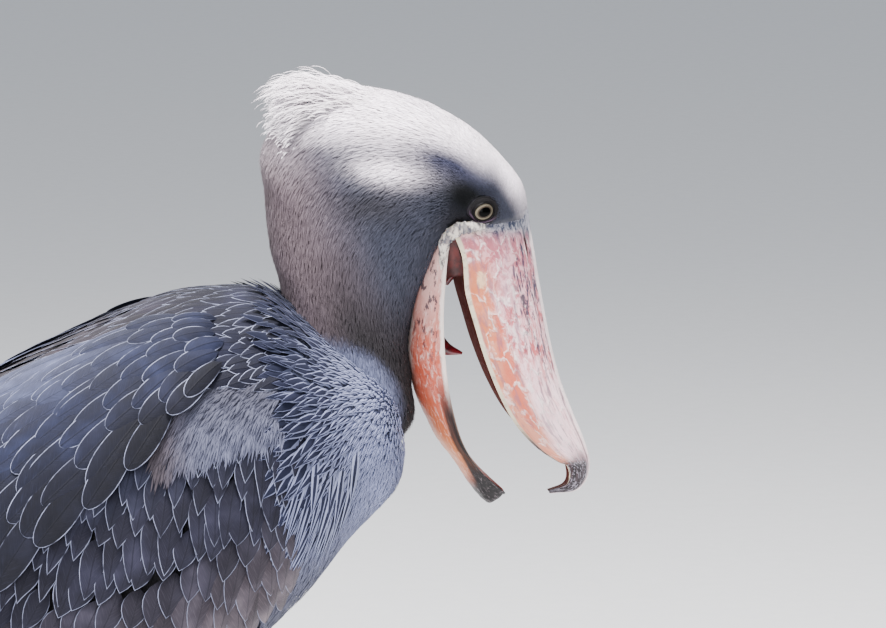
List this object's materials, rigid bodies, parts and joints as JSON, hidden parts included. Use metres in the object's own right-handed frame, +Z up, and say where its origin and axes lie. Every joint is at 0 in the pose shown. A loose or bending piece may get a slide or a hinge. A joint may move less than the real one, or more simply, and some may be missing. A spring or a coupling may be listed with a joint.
{
  "type": "shoebill, life-size still model of a standing bird",
  "caption": "Large grey wading bird standing with bowed head, open hooked bill, nape crest, folded wings and long legs.",
  "frame": {"origin": "on the floor, below the centre of the whole bird's bounding box", "axes": "+X the way the bird faces, +Y its left, +Z up"},
  "size_m": [0.9584, 0.332, 0.9337],
  "materials": {
    "body_feathers": "soft pale slate-grey feathers with fine darker shafts",
    "head_feathers": "short matte mauve-grey down",
    "flight_feathers": "dark slate feathers with thin pale rims, faint sheen",
    "bill_horn": "mottled pink, cream and slate horn, worn satin gloss",
    "mouth_flesh": "dark red moist flesh",
    "eye": "clear wet cornea over a pale cream iris and a black pupil",
    "leg_skin": "dark grey scaled skin, matte",
    "claw_horn": "worn dark horn"
  },
  "bodies": {
    "root": {"torso": "body_feathers", "thigh_left": "body_feathers", "thigh_right": "body_feathers", "neck": "head_feathers", "head": "head_feathers", "wing_left_scapulars": "flight_feathers", "wing_right_scapulars": "flight_feathers", "wing_left_coverts": "flight_feathers", "wing_right_coverts": "flight_feathers", "wing_left_secondaries": "flight_feathers", "wing_right_secondaries": "flight_feathers", "wing_left_primaries": "flight_feathers", "wing_right_primaries": "flight_feathers", "tail": "flight_feathers", "bill_upper": "bill_horn", "bill_lower": "bill_horn", "mouth_lining": "mouth_flesh", "tongue": "mouth_flesh", "eye_left": "eye", "eye_right": "eye", "shin_left": "leg_skin", "shin_right": "leg_skin", "tarsus_left": "leg_skin", "tarsus_right": "leg_skin", "toe_left_middle": "leg_skin", "toe_left_inner": "leg_skin", "toe_left_outer": "leg_skin", "toe_left_hind": "leg_skin", "toe_right_middle": "leg_skin", "toe_right_inner": "leg_skin", "toe_right_outer": "leg_skin", "toe_right_hind": "leg_skin", "claw_left_middle": "claw_horn", "claw_left_inner": "claw_horn", "claw_left_outer": "claw_horn", "claw_left_hind": "claw_horn", "claw_right_middle": "claw_horn", "claw_right_inner": "claw_horn", "claw_right_outer": "claw_horn", "claw_right_hind": "claw_horn"}
  },
  "joints": []
}
